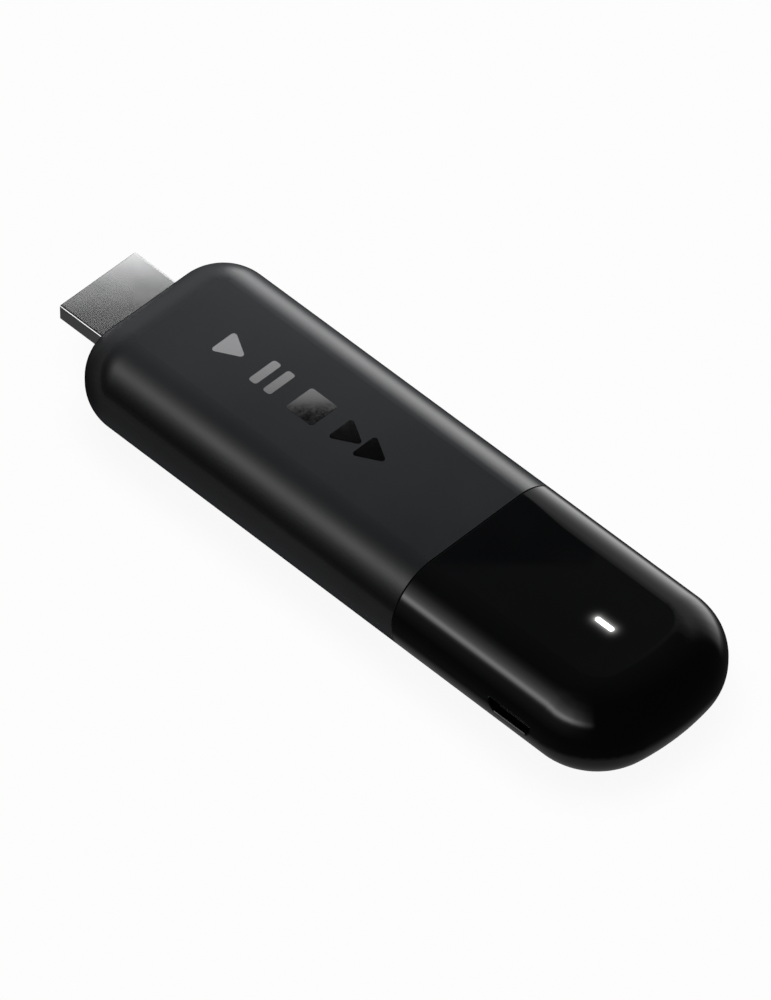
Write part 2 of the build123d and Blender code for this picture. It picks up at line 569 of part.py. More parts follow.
def status_led():
    """The white light under the diffuser: a square lens on a longer base."""
    half, middle = LED_SIZE / 2, BOARD_TOP + LED_HEIGHT / 2
    base = block(LIGHT_X - LED_SIZE, LIGHT_X + LED_SIZE, -half, half, BOARD_TOP, middle)
    return base + block(LIGHT_X - half, LIGHT_X + half, -half, half, middle, BOARD_TOP + LED_HEIGHT)


# ---------------------------------------------------------------- shielding and cooling
def shield_plate(grow, z0, z1):
    """A plate over the shielded area, with its edge moved outwards by grow."""
    half = SHIELD_HALF_WIDTH + grow
    x0, x1 = SHIELD_BACK - grow, SHIELD_FRONT + grow
    return rounded_block(x0, x1, -half, half, z0, z1, SHIELD_CORNER + grow)


def shield_ring(grow, z0, z1):
    """A thin upright wall around the shielded area, with its outside moved outwards by grow."""
    return shield_plate(grow, z0, z1) - shield_plate(grow - SHIELD_SHEET, z0 - 1, z1 + 1)


def shield_frame():
    """The soldered fence around the processor and memory."""
    return shield_ring(0, BOARD_TOP, SHIELD_TOP - SHIELD_SHEET - FIT_GAP)


def shield_lid():
    """The lid that clips over the fence."""
    grow = SHIELD_SHEET + FIT_GAP
    skirt = shield_ring(grow, BOARD_TOP + SHIELD_SKIRT_GAP, SHIELD_TOP)
    return skirt + shield_plate(grow, SHIELD_TOP - SHIELD_SHEET, SHIELD_TOP)


def processor_pad():
    """Soft pad between the processor and the shield's lid."""
    chip_top = BOARD_TOP + PROCESSOR[-1]
    return rounded_block(*PROCESSOR_PAD, chip_top, SHIELD_TOP - SHIELD_SHEET, PAD_CORNER)


def upper_pad():
    """Soft pad between the shield's lid and the upper heat sink."""
    return rounded_block(*UPPER_PAD, SHIELD_TOP, UPPER_SINK_BOTTOM, PAD_CORNER)


def lower_pad():
    """Soft pad between the board and the lower heat sink's pedestal."""
    return rounded_block(*LOWER_PAD, PEDESTAL_TOP, BOARD_BOTTOM, PAD_CORNER)


def upper_heat_sink():
    """Aluminium plate over the shield, finned along its length, held by the four long screws."""
    half = SINK_HALF_WIDTH
    x0, x1 = UPPER_SINK_BACK, UPPER_SINK_FRONT
    sink = rounded_block(x0, x1, -half, half, UPPER_SINK_BOTTOM, UPPER_SINK_TOP, SINK_CORNER)
    z0, z1 = UPPER_SINK_TOP - SINK_OVERLAP, UPPER_SINK_TOP + FIN_HEIGHT
    for i in range(FIN_COUNT):
        y = (i - (FIN_COUNT - 1) / 2) * FIN_PITCH
        sink += block(FIN_BACK, FIN_FRONT, y - FIN_THICK / 2, y + FIN_THICK / 2, z0, z1)
    return drill(sink, SCREW_PLACES, CLEAR_HOLE)


def lower_heat_sink():
    """Aluminium plate under the carrier, with a pedestal up to the board's pad."""
    half = SINK_HALF_WIDTH
    x0, x1 = LOWER_SINK_BACK, LOWER_SINK_FRONT
    sink = rounded_block(x0, x1, -half, half, LOWER_SINK_BOTTOM, LOWER_SINK_TOP, SINK_CORNER)
    x0, x1, half = PEDESTAL_BACK, PEDESTAL_FRONT, PEDESTAL_HALF_WIDTH
    z0 = LOWER_SINK_TOP - SINK_OVERLAP
    sink += rounded_block(x0, x1, -half, half, z0, PEDESTAL_TOP, PEDESTAL_CORNER)
    return drill(sink, SINK_SCREW_PLACES, CLEAR_HOLE)


def spacers():
    """Four brass tubes that set the upper heat sink's height above the board."""
    tubes = [post(x, y, BOARD_TOP, UPPER_SINK_BOTTOM, SPACER_RADIUS) for x, y in SCREW_PLACES]
    return group([drill(tube, [place], CLEAR_HOLE) for tube, place in zip(tubes, SCREW_PLACES)])


def screw(x, y, seat, length, way):
    """A pan-head screw with a cross recess. Its head stands up from its seat when way is 1, down when -1."""
    outer = seat + way * SCREW_HEAD_HEIGHT
    shank = post(x, y, *sorted((seat, seat - way * length)), SCREW_SHANK)
    head = post(x, y, *sorted((seat, outer)), SCREW_HEAD)
    rim = head.edges().filter_by(GeomType.CIRCLE).filter_by(lambda e: abs(e.center().Z - outer) < NEAR)
    body = fillet(rim, SCREW_HEAD_ROUND) + shank
    z0, z1 = sorted((outer - way * RECESS_DEPTH, outer + way * RECESS_DEPTH))
    for along, across in ((RECESS_ARM, RECESS_HALF), (RECESS_HALF, RECESS_ARM)):
        body -= block(x - along, x + along, y - across, y + across, z0, z1)
    return body


def board_screws():
    """Four long screws through heat sink, spacer, board and carrier."""
    length = UPPER_SINK_TOP - CARRIER_BOTTOM - 2 * CARRIER_FLOOR
    return group([screw(x, y, UPPER_SINK_TOP, length, 1) for x, y in SCREW_PLACES])


def heat_sink_screws():
    """Two short screws that hold the lower heat sink to the carrier."""
    return group([screw(x, y, LOWER_SINK_BOTTOM, SHORT_SCREW_LENGTH, -1) for x, y in SINK_SCREW_PLACES])


# ---------------------------------------------------------------- antennas
def antenna_bracket():
    """Plastic block shaped to the cap's end, hollow from below, that carries the antennas."""
    half = BRACKET_HALF_WIDTH
    bracket = case_form(WALL + FIT_GAP) & block(CAP_END, ANTENNA_FRONT, -half, half, 0, ANTENNA_TOP)
    half -= BRACKET_WALL
    x1, z1 = ANTENNA_FRONT - BRACKET_WALL, ANTENNA_TOP - BRACKET_WALL
    return bracket - block(BRACKET_ROOM_BACK, x1, -half, half, 0, z1)


def wifi_antennas():
    """Two stamped antennas on the bracket's top, each with a slot that makes its folded arm."""
    z0, z1 = ANTENNA_TOP, ANTENNA_TOP + ANTENNA_SHEET
    half = ANTENNA_HALF_WIDTH
    sheets = []
    for y in ANTENNA_PLACES:
        sheet = rounded_block(ANTENNA_BACK, ANTENNA_FRONT, y - half, y + half, z0, z1, ANTENNA_CORNER)
        sheets.append(sheet - block(*ANTENNA_SLOT, y - half + ANTENNA_ARM, y + half + 1, z0 - 1, z1 + 1))
    return group(sheets)


def lead_paths():
    """Routes of the two antenna leads, past the light pipe to the board."""
    paths = []
    for y0, midway, y1 in LEAD_ROUTES:
        start = (ANTENNA_FRONT - 1, y0, LEAD_START_HEIGHT)
        end = (LEAD_END_X, y1, LEAD_END_HEIGHT)
        paths.append(Spline(start, midway, end, tangents=((1, 0, 0), (1, 0, 0))))
    return paths


def antenna_cables():
    """Two thin coaxial leads."""
    leads = []
    for path in lead_paths():
        across = Plane(origin=path @ 0, z_dir=path % 0)
        leads.append(sweep(across * Circle(LEAD_RADIUS), path=path))
    return group(leads)


def antenna_plugs():
    """The round snap-on ends of the two leads, on the board."""
    x = LEAD_END_X + LEAD_CAP_RADIUS + FIT_GAP
    plugs = []
    for _, _, y in LEAD_ROUTES:
        base = post(x, y, BOARD_TOP, LEAD_CAP_BASE_TOP, LEAD_CAP_BASE_RADIUS)
        plugs.append(base + post(x, y, LEAD_CAP_BASE_TOP, LEAD_CAP_TOP, LEAD_CAP_RADIUS))
    return group(plugs)


# ---------------------------------------------------------------- output
def all_parts():
    """Every sub-part, by node name."""
    return {
        "body_sleeve": body_sleeve(),
        "end_cap": end_cap(),
        "light_pipe": light_pipe(),
        "carrier_frame": carrier_frame(),
        "hdmi_shell": hdmi_shell(),
        "hdmi_insulator": hdmi_insulator(),
        "hdmi_contacts_upper": hdmi_contacts_upper(),
        "hdmi_contacts_lower": hdmi_contacts_lower(),
        "usb_shell": usb_shell(),
        "usb_tongue": usb_tongue(),
        "usb_contacts": usb_contacts(),
        "main_board": main_board(),
        "processor": package(*PROCESSOR),
        "memory_chips": packages(MEMORY_CHIPS),
        "flash_chip": package(*FLASH_CHIP),
        "radio_module": radio_module(),
        "power_chip": package(*POWER_CHIP),
        "power_inductors": packages(INDUCTORS),
        "crystals": packages(CRYSTALS),
        "ceramic_capacitors": packages(
            PLUG_CAPACITORS + POWER_CAPACITORS + RADIO_CAPACITORS + SHIELDED_CAPACITORS
        ),
        "status_led": status_led(),
        "shield_frame": shield_frame(),
        "shield_lid": shield_lid(),
        "processor_pad": processor_pad(),
        "upper_pad": upper_pad(),
        "lower_pad": lower_pad(),
        "upper_heat_sink": upper_heat_sink(),
        "lower_heat_sink": lower_heat_sink(),
        "spacers": spacers(),
        "board_screws": board_screws(),
        "heat_sink_screws": heat_sink_screws(),
        "antenna_bracket": antenna_bracket(),
        "wifi_antennas": wifi_antennas(),
        "antenna_cables": antenna_cables(),
        "antenna_plugs": antenna_plugs(),
    }


os.makedirs("parts", exist_ok=True)
for node, shape in all_parts().items():
    export_step(shape, f"parts/{node}.step")
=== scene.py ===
import json
import math

import bmesh
import bpy
from mathutils import Matrix, Vector


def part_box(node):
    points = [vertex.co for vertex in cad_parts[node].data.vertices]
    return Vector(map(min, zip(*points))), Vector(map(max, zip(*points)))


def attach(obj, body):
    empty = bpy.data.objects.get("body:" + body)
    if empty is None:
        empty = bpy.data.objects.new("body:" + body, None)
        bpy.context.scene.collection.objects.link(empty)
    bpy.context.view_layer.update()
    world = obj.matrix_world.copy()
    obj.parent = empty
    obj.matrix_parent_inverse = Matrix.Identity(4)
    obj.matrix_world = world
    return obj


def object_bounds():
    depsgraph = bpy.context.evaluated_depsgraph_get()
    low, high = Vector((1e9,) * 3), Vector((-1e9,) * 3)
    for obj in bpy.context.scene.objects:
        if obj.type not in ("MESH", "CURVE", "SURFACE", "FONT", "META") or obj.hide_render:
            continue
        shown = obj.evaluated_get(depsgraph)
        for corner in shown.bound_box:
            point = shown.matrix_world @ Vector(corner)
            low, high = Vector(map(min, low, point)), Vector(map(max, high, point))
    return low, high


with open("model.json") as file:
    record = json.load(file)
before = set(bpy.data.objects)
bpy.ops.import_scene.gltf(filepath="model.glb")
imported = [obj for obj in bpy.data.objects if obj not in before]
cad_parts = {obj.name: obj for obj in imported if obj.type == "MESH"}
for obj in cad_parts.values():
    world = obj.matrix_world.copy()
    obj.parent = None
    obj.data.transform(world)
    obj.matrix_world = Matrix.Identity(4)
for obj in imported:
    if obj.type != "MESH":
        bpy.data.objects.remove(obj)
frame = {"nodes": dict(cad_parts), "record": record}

# A matt and gloss black streaming stick on a white studio floor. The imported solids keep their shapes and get
# procedural finishes here. Object coordinates are the shared frame, in metres, so textures sit at true scale.

MM = 0.001
CAD_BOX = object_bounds()
LIGHT_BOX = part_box("light_pipe")
SLEEVE_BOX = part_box("body_sleeve")

# ---------------------------------------------------------------- view
CAMERA_AZIMUTH = 225.2          # degrees round the object, 0 looks along +Y
CAMERA_ELEVATION = 47.6
CAMERA_DISTANCE = 1.52
CAMERA_LENS = 425.0             # millimetres, on a frame this wide
CAMERA_SENSOR = 36.0
CAMERA_REACH = (0.05, 20.0)     # nearest and farthest it sees

# ---------------------------------------------------------------- studio
# Three long softboxes that the object mirrors. Each has a radiance, a profile of (elevation in degrees, share of that
# radiance), and the azimuths in degrees where it starts to fade in, is full from, is full to, and has faded out.
BACK_BOX_STRENGTH = 2.4
BACK_BOX_PROFILE = [(-36, 0.0), (-27, 0.02), (-20, 0.17), (-13, 0.75), (-8, 0.88), (-3, 0.86), (3, 0.77), (8, 0.6),
                    (15, 0.41), (22, 0.29), (29, 0.21), (35, 0.19), (42, 0.16), (48, 0.06), (54, 0.0)]
BACK_BOX_AZIMUTH = (-112, -70, -56, -44)
FRONT_BOX_STRENGTH = 3.6
FRONT_BOX_PROFILE = [(-20, 0.0), (-5, 0.015), (9, 0.035), (14, 0.12), (18, 0.6), (21, 0.98), (24, 1.0), (27, 0.66),
                     (30, 0.42), (37, 0.24), (43, 0.16), (49, 0.08), (54, 0.055), (58, 0.04), (66, 0.01), (80, 0.0)]
FRONT_BOX_AZIMUTH = (26, 62, 85, 135)
END_BOX_STRENGTH = 0.09
END_BOX_PROFILE = [(-50, 0.0), (-40, 0.5), (-30, 1.0), (0, 1.0), (15, 0.85), (25, 0.8), (35, 0.45), (44, 0.0)]
END_BOX_AZIMUTH = (-44, -32, -22, 6)
ROOM_RADIANCE = 0.028
GROUND_RADIANCE = 0.13          # of the ground, which shows only to faces that look steeply down
GROUND_ELEVATION = (-62.0, -50.0)
# where a flat top, and the plug's near side, mirror the camera
MIRROR_TOP = (0.478, -0.475, 0.739)
MIRROR_SIDE = (0.478, 0.475, -0.739)
# Cards that show as a reflection in one piece each: the point a card is aimed at, the way it lies from there and how
# far, its width and height, the part of its height (-0.5 foot, 0.5 head) over which its radiance changes, that
# radiance at either end, and the piece. The dark one keeps the forward symbols of the print black.
WHOLE = (-0.5, 0.5)
CARDS = [
    ("mark_card", (0.030, 0.0, 0.0146), MIRROR_TOP, 0.10, (0.060, 0.0178), WHOLE, (2.0, 0.5), "printed_mark"),
    ("mark_dark", (-0.005, 0.0, 0.0146), MIRROR_TOP, 0.101, (0.050, 0.022), WHOLE, (0.006, 0.006), "printed_mark"),
    ("plug_card", (0.0609, 0.0, 0.0092), MIRROR_TOP, 0.08, (0.060, 0.033), (-0.09, 0.0), (2.7, 0.03), "hdmi_shell"),
    ("plug_fill", (0.050, 0.007, 0.0066), MIRROR_SIDE, 0.05, (0.020, 0.020), WHOLE, (0.07, 0.07), "hdmi_shell"),
]
# Lamps that only the plug mirrors, so that it reads as metal from the sides, above and below: the way each lies from
# the plug, how far, its size and its radiance.
PLUG_MIDDLE = (0.048, 0.0, 0.0066)
PLUG_LAMPS = [
    ("plug_front", (1.0, 0.0, 0.05), 0.12, (0.16, 0.09), 0.55),
    ("plug_over", (-0.05, 0.0, 1.0), 0.14, (0.09, 0.09), 0.7),
    ("plug_near", (-0.05, 1.0, -0.08), 0.12, (0.12, 0.05), 0.5),
    ("plug_near_high", (-0.66, 0.66, 0.36), 0.14, (0.10, 0.06), 0.7),
    ("plug_far_high", (-0.66, -0.66, 0.36), 0.14, (0.10, 0.06), 0.7),
    ("plug_under", (-0.30, -0.72, -0.63), 0.12, (0.07, 0.06), 0.8),
]
# Lamps that only light matt surfaces, so they show in no reflection. One stands over the far side of the plug end and
# one below: where each stands, the way it lies from the stick, its size and its power in watts.
MATT_LAMPS = [
    ("top_lamp", (0.085, -0.085, 0.115), (0.0, 0.0, 1.0), (0.05, 0.05), 1.38),
    ("under_lamp", (0.010, 0.040, -0.110), (0.0, 0.0, -1.0), (0.06, 0.06), 0.5),
]
FLOOR_WHITE = 0.98
FLOOR_SHADOW_SHARE = 0.95            # what is left of that white in the painted contact shadow, where the object covers the floor
FLOOR_COVERED = 0.35            # a spot counts as covered when no more than this share of its sky is open
FLOOR_SHADOW_REACH = 7 * MM    # and this is how far the painted shadow looks for cover
FLOOR_DEPTH = 0.25 * MM         # how far the floor lies under the object
FLOOR_HALF = 2.0                # from its middle to a side
WHITE = (1, 1, 1, 1)


# ================================================================ node helpers
EDGE_SHARPNESS = 6.0            # how fast the wear rises as an edge turns


class Look:
    """A material, or the world, while its nodes are being put together."""

    def __init__(self, owner):
        self.owner = owner
        owner.use_nodes = True
        self.tree = owner.node_tree
        self.tree.nodes.clear()

    def node(self, kind, inputs=None, **settings):
        """Adds a node. An input is a number, a colour, or another node's output."""
        made = self.tree.nodes.new("ShaderNode" + kind)
        for key, value in settings.items():
            setattr(made, key, value)
        for key, value in (inputs or {}).items():
            if isinstance(value, bpy.types.NodeSocket):
                self.tree.links.new(value, made.inputs[key])
            else:
                made.inputs[key].default_value = value
        return made

    def math(self, operation, *values):
        """One step of arithmetic. A value is a number or another node's output."""
        return self.node("Math", dict(enumerate(values)), operation=operation).outputs[0]

    def remap(self, value, low, high, to_low, to_high, interpolation="LINEAR"):
        """Carries a value from one range to another, held at both ends."""
        inputs = {"Value": value, "From Min": low, "From Max": high, "To Min": to_low, "To Max": to_high}
        return self.node("MapRange", inputs, interpolation_type=interpolation).outputs["Result"]

    def blend(self, share, low, high):
        """A colour between two colours."""
        mixed = self.node("Mix", data_type="RGBA")
        for key, value in ((0, share), (6, low), (7, high)):
            if isinstance(value, bpy.types.NodeSocket):
                self.tree.links.new(value, mixed.inputs[key])
            elif key == 0:
                mixed.inputs[key].default_value = value
            else:
                mixed.inputs[key].default_value = (*value, 1)
        return mixed.outputs[2]

    def profile(self, value, low, high, stops):
        """Looks a value up in a list of (value, result), where values run from low to high and results from 0 to 1."""
        ramp = self.node("ValToRGB", {0: self.remap(value, low, high, 0.0, 1.0)})
        elements = ramp.color_ramp.elements
        while len(elements) > 1:
            elements.remove(elements[-1])
        for i, (at, result) in enumerate(stops):
            place = (at - low) / (high - low)
            element = elements[0] if i == 0 else elements.new(place)
            element.position = place
            element.color = (result, result, result, 1)
        return ramp.outputs[0]

    def place(self, stretch=None):
        """Position in the shared frame, in metres, and stretched along each axis if asked."""
        where = self.node("TexCoord").outputs["Object"]
        if stretch:
            where = self.node("Mapping", {"Vector": where, "Scale": stretch}).outputs[0]
        return where

    def noise(self, size, detail=2.0, rough=0.5, stretch=None):
        """Cloudy noise from 0 to 1, with features of about this size in metres."""
        inputs = {"Vector": self.place(stretch), "Scale": 1 / size, "Detail": detail, "Roughness": rough}
        return self.node("TexNoise", inputs).outputs[0]

    def cells(self, size, stretch=None, feature="F1", output="Distance"):
        """Voronoi cells of about this size in metres."""
        inputs = {"Vector": self.place(stretch), "Scale": 1 / size}
        return self.node("TexVoronoi", inputs, feature=feature).outputs[output]

    def bump(self, height, depth, normal=None):
        """A normal from a height of 0 to 1 that stands for this depth in metres."""
        inputs = {"Height": height, "Distance": depth, "Strength": 1.0}
        if normal:
            inputs["Normal"] = normal
        return self.node("Bump", inputs).outputs[0]

    def edges(self, radius):
        """1 along edges sharper than the radius, 0 on flats."""
        rounded = self.node("Bevel", {"Radius": radius}, samples=4).outputs[0]
        plain = self.node("NewGeometry").outputs["Normal"]
        alike = self.node("VectorMath", {0: rounded, 1: plain}, operation="DOT_PRODUCT").outputs["Value"]
        return self.math("MINIMUM", self.math("MULTIPLY", self.math("SUBTRACT", 1.0, alike), EDGE_SHARPNESS), 1.0)

    def principled(self, **inputs):
        """The surface itself. Keys are the shader's input names, with _ for a space."""
        named = {key.replace("_", " "): value for key, value in inputs.items()}
        for key, value in named.items():
            if isinstance(value, tuple) and len(value) == 3:
                named[key] = (*value, 1)
        return self.node("BsdfPrincipled", named).outputs[0]

    def finish(self, shader, kind="OutputMaterial"):
        """Puts the shader on the output, and hands back the material or the world."""
        out = self.node(kind)
        self.tree.links.new(shader, out.inputs["Surface"])
        return self.owner


def new_look(name):
    return Look(bpy.data.materials.new(name))


# ================================================================ finishes: casing
SHEEN_LEAN = 1.45               # the matt coat's sheen sits inboard of where a polished edge would show it
SHEEN_INDEX_TOP = 1.2           # the matt coat's refractive index, less 1, where its sheen is strongest
# the share of that by how squarely the coat faces the eye, where 1 is full on: its roughness shades it at a glance
SHEEN_INDEX = [(0.0, 0.0), (0.12, 0.0), (0.17, 0.02), (0.25, 0.09), (0.32, 0.18), (0.43, 0.57), (0.5, 0.8),
               (0.6, 1.0), (0.66, 0.84), (0.70, 0.4), (0.74, 0.27), (0.78, 0.33), (0.83, 0.46), (0.86, 0.5),
               (1.0, 0.5)]


def case_matt():
    """Fine moulded texture with a low sheen, a little cloudy, and polished by handling along the seam's rim."""
    look = new_look("case_matt")
    cloud = look.noise(14 * MM, 3)
    grain = look.noise(0.13 * MM, 2)
    pits = look.cells(0.22 * MM)
    worn = look.edges(0.12 * MM)
    colour = look.blend(cloud, (0.0070, 0.0074, 0.0080), (0.0096, 0.0101, 0.0109))
    colour = look.blend(look.math("MULTIPLY", worn, 0.5), colour, (0.030, 0.031, 0.033))
    rough = look.math("SUBTRACT", look.remap(cloud, 0.3, 0.7, 0.37, 0.41), look.math("MULTIPLY", worn, 0.1))
    plain = look.node("NewGeometry").outputs["Normal"]
    lean = (SHEEN_LEAN, SHEEN_LEAN, 1.0)
    leaning = look.node("VectorMath", {0: plain, 1: lean}, operation="MULTIPLY").outputs[0]
    leaning = look.node("VectorMath", {0: leaning}, operation="NORMALIZE").outputs[0]
    normal = look.bump(grain, 0.0025 * MM, look.bump(pits, 0.0015 * MM, leaning))
    square_on = look.math("SUBTRACT", 1.0, look.node("LayerWeight", {"Blend": 0.5}).outputs["Facing"])
    index = look.math("MULTIPLY_ADD", look.profile(square_on, 0.0, 1.0, SHEEN_INDEX), SHEEN_INDEX_TOP, 1.0)
    return look.finish(look.principled(Base_Color=colour, Roughness=rough, IOR=index, Normal=normal))


SLOT_HALF_LENGTH = 1.55 * MM    # of the status light's slot
SLOT_HALF_WIDTH = 0.375 * MM
GLOW_REACH = 0.28 * MM          # over this length the glow painted on the gloss falls to a third
GLOW_STRENGTH = 0.42
GLOW_DEPTH = (0.2 * MM, 0.05 * MM)    # under the cap's top, where the glow starts and is full
LIGHT_STRENGTH = 1.9
LIGHT_ENDS = 0.72               # how bright the light's ends are, beside its middle
LIGHT_HALF_LENGTH = 1.6 * MM


def light_glow(look):
    """How much of the status light's glow is painted on the gloss round its slot: 1 at the slot, fading within a
    millimetre.
    """
    low, high = LIGHT_BOX
    axes = look.node("SeparateXYZ", {0: look.place()}).outputs
    along = look.math("ABSOLUTE", look.math("SUBTRACT", axes["X"], (low.x + high.x) / 2))
    along = look.math("MAXIMUM", look.math("SUBTRACT", along, SLOT_HALF_LENGTH - SLOT_HALF_WIDTH), 0.0)
    apart = look.math("SQRT", look.math("ADD", look.math("POWER", along, 2.0), look.math("POWER", axes["Y"], 2.0)))
    beyond = look.math("MAXIMUM", look.math("SUBTRACT", apart, SLOT_HALF_WIDTH), 0.0)
    fade = look.math("EXPONENT", look.math("DIVIDE", beyond, -GLOW_REACH))
    on_top = look.remap(axes["Z"], high.z - GLOW_DEPTH[0], high.z - GLOW_DEPTH[1], 0.0, 1.0)
    return look.math("MULTIPLY", fade, on_top)


def case_gloss():
    """Piano black under a clear coat: barely wavy, with faint smudges and hairlines, and the light's glow painted
    round its slot.
    """
    look = new_look("case_gloss")
    smudge = look.noise(9 * MM, 4, 0.6)
    wave = look.noise(6 * MM, 1)
    hairs = look.noise(0.2 * MM, 1, 0.5, (0.06, 1.0, 1.0))
    rough = look.remap(smudge, 0.45, 0.75, 0.045, 0.11)
    rough = look.math("ADD", rough, look.remap(hairs, 0.6, 0.8, 0.0, 0.03))
    colour = look.blend(smudge, (0.0011, 0.0012, 0.0013), (0.0018, 0.0019, 0.0021))
    rounded = look.node("Bevel", {"Radius": 0.15 * MM}, samples=4).outputs[0]
    surface = look.principled(
        Base_Color=colour,
        Roughness=rough,
        IOR=1.5,
        Normal=look.bump(wave, 0.003 * MM, rounded),
        # the status light's glow on the cap is painted in as emission
        Emission_Color=(1.0, 0.99, 0.97),
        Emission_Strength=look.math("MULTIPLY", light_glow(look), GLOW_STRENGTH),
    )
    return look.finish(surface)


def light_white():
    """Milky diffuser lit from within: hottest in the middle of its window, with a faint moulded grain."""
    look = new_look("light_white")
    low, high = LIGHT_BOX
    axes = look.node("SeparateXYZ", {0: look.place()}).outputs
    off = look.math("ABSOLUTE", look.math("SUBTRACT", axes["X"], (low.x + high.x) / 2))
    middle = look.remap(off, 0.0, LIGHT_HALF_LENGTH, 1.0, LIGHT_ENDS, "SMOOTHSTEP")
    grain = look.remap(look.noise(0.3 * MM, 2), 0.3, 0.7, 0.96, 1.04)
    strength = look.math("MULTIPLY", look.math("MULTIPLY", middle, grain), LIGHT_STRENGTH)
    surface = look.principled(
        Base_Color=(0.85, 0.86, 0.88),
        Roughness=0.35,
        Emission_Color=(0.96, 0.98, 1.0),
        Emission_Strength=strength,
    )
    return look.finish(surface)


# ================================================================ finishes: metals
def metal(name, dark, light, rough_low, rough_high, stretch=None, grain=0.05 * MM, depth=0.0012 * MM):
    """Metal with a drawn or brushed grain, cloudy patches, and edges rubbed smooth and bright."""
    look = new_look(name)
    cloud = look.noise(2.5 * MM, 3)
    brushed = look.noise(grain, 3, 0.6, stretch)
    worn = look.edges(0.15 * MM)
    tone = look.math("ADD", look.math("MULTIPLY", cloud, 0.5), look.math("MULTIPLY", brushed, 0.5))
    colour = look.blend(look.remap(tone, 0.3, 0.7, 0.0, 1.0), dark, light)
    bright = tuple(min(1.0, 1.15 * c) for c in light)
    colour = look.blend(look.math("MULTIPLY", worn, 0.6), colour, bright)
    rough = look.remap(tone, 0.3, 0.7, rough_low, rough_high)
    rough = look.math("SUBTRACT", rough, look.math("MULTIPLY", worn, rough_low * 0.35))
    normal = look.bump(brushed, depth)
    return look.finish(look.principled(Base_Color=colour, Metallic=1.0, Roughness=rough, Normal=normal))


def plug_nickel():
    dark, light = (0.58, 0.585, 0.59), (0.63, 0.635, 0.64)
    return metal("plug_nickel", dark, light, 0.17, 0.2, (0.04, 1, 1), 0.06 * MM, 0.00005 * MM)


def socket_steel():
    return metal("socket_steel", (0.40, 0.40, 0.41), (0.56, 0.56, 0.57), 0.25, 0.36, (1, 0.1, 1))


def contact_gold():
    return metal("contact_gold", (0.78, 0.52, 0.20), (0.95, 0.70, 0.34), 0.16, 0.28, (0.15, 1, 1))


def cable_plug_gold():
    return metal("cable_plug_gold", (0.74, 0.50, 0.20), (0.90, 0.66, 0.30), 0.2, 0.32)


def crystal_metal():
    return metal("crystal_metal", (0.58, 0.56, 0.52), (0.74, 0.72, 0.68), 0.2, 0.3, (0.2, 1, 1))


def sink_aluminium():
    return metal("sink_aluminium", (0.58, 0.59, 0.60), (0.74, 0.75, 0.76), 0.28, 0.42, (0.06, 1, 1), 0.08 * MM)


def spacer_brass():
    return metal("spacer_brass", (0.60, 0.42, 0.17), (0.80, 0.60, 0.28), 0.22, 0.36, (0.3, 0.3, 4))


def screw_steel():
    return metal("screw_steel", (0.30, 0.30, 0.31), (0.48, 0.48, 0.50), 0.26, 0.4, (0.6, 0.6, 3))


def shield_tin():
    """Tin-plated sheet, spangled where the plating crystallised."""
    look = new_look("shield_tin")
    spangle = look.cells(1.1 * MM, output="Color")
    value = look.node("SeparateXYZ", {0: spangle}).outputs[0]
    scratch = look.noise(0.08 * MM, 2, 0.5, (0.1, 1, 1))
    worn = look.edges(0.15 * MM)
    colour = look.blend(value, (0.52, 0.52, 0.50), (0.64, 0.64, 0.62))
    colour = look.blend(worn, colour, (0.78, 0.78, 0.76))
    rough = look.math("ADD", look.remap(value, 0, 1, 0.28, 0.38), look.remap(scratch, 0.4, 0.7, 0.0, 0.08))
    surface = look.principled(Base_Color=colour, Metallic=1.0, Roughness=rough, Normal=look.bump(scratch, 0.0008 * MM))
    return look.finish(surface)


LID_FOOT = (0.48 * MM, 0.52 * MM)    # over these heights the radio's board turns into its lid


def radio_lid():
    """The radio's lid: drawn steel over a dark board, told apart by height."""
    look = new_look("radio_lid")
    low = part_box("radio_module")[0]
    height = look.node("SeparateXYZ", {0: look.place()}).outputs["Z"]
    lid = look.remap(height, low.z + LID_FOOT[0], low.z + LID_FOOT[1], 0.0, 1.0)
    drawn = look.noise(0.07 * MM, 2, 0.5, (1, 0.08, 1))
    colour = look.blend(lid, (0.012, 0.03, 0.02), look.blend(drawn, (0.5, 0.5, 0.5), (0.66, 0.66, 0.66)))
    rough = look.remap(drawn, 0.3, 0.7, 0.26, 0.38)
    surface = look.principled(Base_Color=colour, Metallic=lid, Roughness=rough, Normal=look.bump(drawn, 0.001 * MM))
    return look.finish(surface)


def antenna_copper():
    """Stamped copper, tarnished in patches."""
    look = new_look("antenna_copper")
    tarnish = look.remap(look.noise(1.8 * MM, 4, 0.6), 0.42, 0.68, 0.0, 1.0)
    drawn = look.noise(0.06 * MM, 2, 0.5, (1, 0.1, 1))
    colour = look.blend(tarnish, (0.86, 0.47, 0.29), (0.52, 0.26, 0.16))
    rough = look.math("ADD", look.remap(tarnish, 0, 1, 0.22, 0.42), look.remap(drawn, 0.4, 0.7, 0, 0.06))
    surface = look.principled(Base_Color=colour, Metallic=1.0, Roughness=rough, Normal=look.bump(drawn, 0.001 * MM))
    return look.finish(surface)


# ================================================================ finishes: plastics and ceramics
def plastic(name, dark, light, rough_low, rough_high, grain=0.12 * MM, depth=0.003 * MM):
    """Moulded plastic: cloudy flow marks, a fine spark texture, and edges a shade lighter."""
    look = new_look(name)
    flow = look.noise(4 * MM, 3, 0.55, (0.4, 1, 1))
    spark = look.noise(grain, 2)
    worn = look.edges(0.2 * MM)
    colour = look.blend(flow, dark, light)
    colour = look.blend(look.math("MULTIPLY", worn, 0.4), colour, tuple(min(1.0, 1.8 * c) for c in light))
    rough = look.remap(flow, 0.3, 0.7, rough_low, rough_high)
    return look.finish(look.principled(Base_Color=colour, Roughness=rough, Normal=look.bump(spark, depth)))


def insert_black():
    return plastic("insert_black", (0.008, 0.008, 0.009), (0.016, 0.016, 0.017), 0.36, 0.5, 0.08 * MM, 0.002 * MM)


